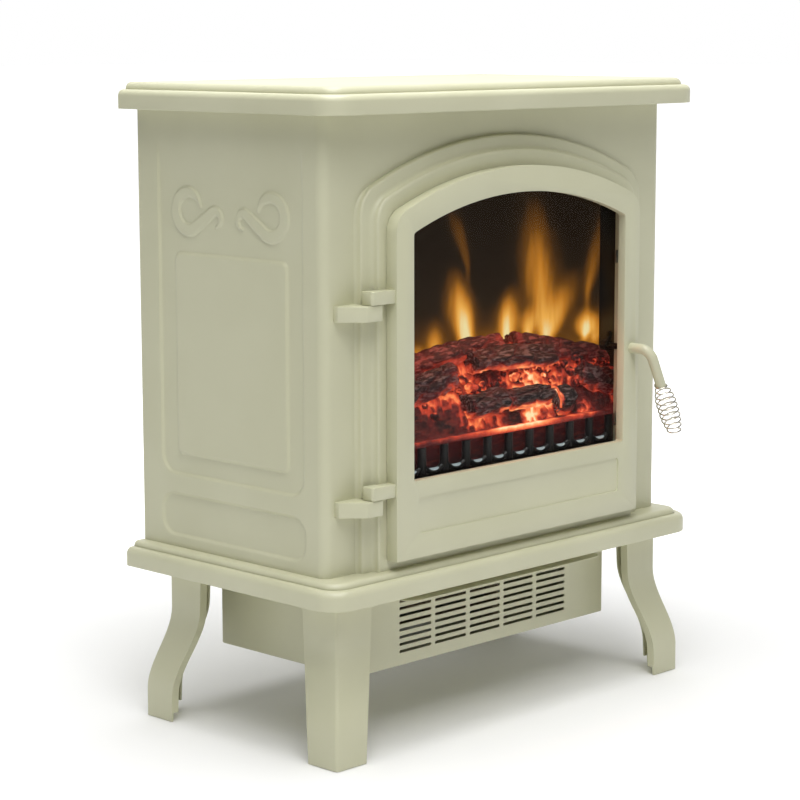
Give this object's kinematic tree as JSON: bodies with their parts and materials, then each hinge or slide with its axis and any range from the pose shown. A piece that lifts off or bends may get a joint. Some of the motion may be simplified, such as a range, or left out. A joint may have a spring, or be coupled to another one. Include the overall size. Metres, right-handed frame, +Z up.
{
  "type": "electric fireplace",
  "caption": "Freestanding electric stove heater: cream steel body on bowed legs, hinged arched glass door with a coil-grip handle, log-effect fire and a fan heater under the base.",
  "frame": {"origin": "on the floor under the centre of the whole stove's box, handle included", "axes": "+X to the right seen from the front, +Y to the back, +Z up; the door faces -Y"},
  "size_m": [0.498, 0.3045, 0.59],
  "materials": {
    "cream_paint": "satin cream powder coat",
    "zinc_steel": "zinc plated",
    "spring_wire": "bright plated spring wire",
    "galvanised_sheet": "galvanised",
    "impeller_aluminium": "bright rolled",
    "mica_board": "pressed mica board, dull",
    "ceramic_white": "unglazed white",
    "tinted_glass": "clear, slightly smoked",
    "seal_rope": "woven glass-fibre tape",
    "black_enamel": "satin black stove enamel",
    "flame_screen": "translucent screen with the flame picture",
    "ember_resin": "translucent cast resin, lit from below",
    "charred_resin": "cast resin, painted as charred wood",
    "lamp_glass": "frosted",
    "black_plastic": "moulded, fine texture",
    "red_plastic": "translucent red rocker",
    "motor_plastic": "moulded"
  },
  "bodies": {
    "casing": {"lid": "cream_paint", "base_plate": "cream_paint", "left_side_panel": "cream_paint", "right_side_panel": "cream_paint", "front_panel": "cream_paint", "arch_surround": "cream_paint", "back_panel": "cream_paint", "back_panel_screws": "zinc_steel", "cable_gland": "black_plastic", "front_left_leg": "cream_paint", "front_right_leg": "cream_paint", "rear_left_leg": "cream_paint", "rear_right_leg": "cream_paint", "leg_screws": "zinc_steel", "heater_box": "cream_paint", "heat_deflector": "cream_paint", "fan_housing": "galvanised_sheet", "fan_motor": "galvanised_sheet", "heating_element": "mica_board", "thermal_cutout": "ceramic_white", "body_hinge_blocks": "cream_paint", "hinge_pins": "zinc_steel", "firebox_liner": "black_enamel", "flame_screen": "flame_screen", "flame_reflector": "impeller_aluminium", "ember_bed": "ember_resin", "back_left_log": "charred_resin", "back_right_log": "charred_resin", "left_log": "charred_resin", "centre_log": "charred_resin", "right_log": "charred_resin", "front_left_log": "charred_resin", "front_middle_log": "charred_resin", "front_right_log": "charred_resin", "fire_grate": "black_enamel", "spindle_bracket": "galvanised_sheet", "spindle_motor": "motor_plastic", "lamp_holders": "ceramic_white", "lamps": "lamp_glass", "control_panel": "black_plastic", "terminal_block": "motor_plastic"},
    "door": {"door_frame": "cream_paint", "door_glass": "tinted_glass", "glass_seal": "seal_rope", "glass_clips": "zinc_steel", "door_hinge_blocks": "cream_paint"},
    "handle": {"handle_rod": "cream_paint", "handle_coil": "spring_wire", "latch_tongue": "zinc_steel", "latch_nut": "zinc_steel"},
    "fan": {"fan_impeller": "impeller_aluminium"},
    "spindle": {"flame_spindle": "impeller_aluminium"},
    "power_rocker": {"power_switch": "red_plastic"},
    "low_heat_rocker": {"low_heat_switch": "black_plastic"},
    "high_heat_rocker": {"high_heat_switch": "black_plastic"},
    "thermostat": {"thermostat_knob": "black_plastic"},
    "dimmer": {"flame_dimmer_knob": "black_plastic"}
  },
  "joints": [
    {"name": "door_hinge", "type": "hinge", "parent": "casing", "child": "door", "pos_m": [-0.188, -0.10975, 0.3], "axis": [0, 0, -1], "range_deg": [0, 110]},
    {"name": "handle_turn", "type": "hinge", "parent": "door", "child": "handle", "pos_m": [0.1558, -0.119, 0.3337], "axis": [0, -1, 0], "range_deg": [-26, 64]},
    {"name": "fan_spin", "type": "hinge", "parent": "casing", "child": "fan", "pos_m": [0, 0.01995, 0.103], "axis": [1, 0, 0], "continuous": true},
    {"name": "spindle_spin", "type": "hinge", "parent": "casing", "child": "spindle", "pos_m": [0, 0.00085, 0.273], "axis": [1, 0, 0], "continuous": true},
    {"name": "power_rock", "type": "hinge", "parent": "casing", "child": "power_rocker", "pos_m": [-0.088, -0.08865, 0.2055], "axis": [-1, 0, 0], "range_deg": [0, 12]},
    {"name": "low_heat_rock", "type": "hinge", "parent": "casing", "child": "low_heat_rocker", "pos_m": [-0.054, -0.08865, 0.2055], "axis": [-1, 0, 0], "range_deg": [0, 12]},
    {"name": "high_heat_rock", "type": "hinge", "parent": "casing", "child": "high_heat_rocker", "pos_m": [-0.02, -0.08865, 0.2055], "axis": [-1, 0, 0], "range_deg": [0, 12]},
    {"name": "thermostat_turn", "type": "hinge", "parent": "casing", "child": "thermostat", "pos_m": [0.04, -0.09165, 0.2055], "axis": [0, 1, 0], "range_deg": [0, 270]},
    {"name": "dimmer_turn", "type": "hinge", "parent": "casing", "child": "dimmer", "pos_m": [0.096, -0.09165, 0.2055], "axis": [0, 1, 0], "range_deg": [0, 270]}
  ]
}
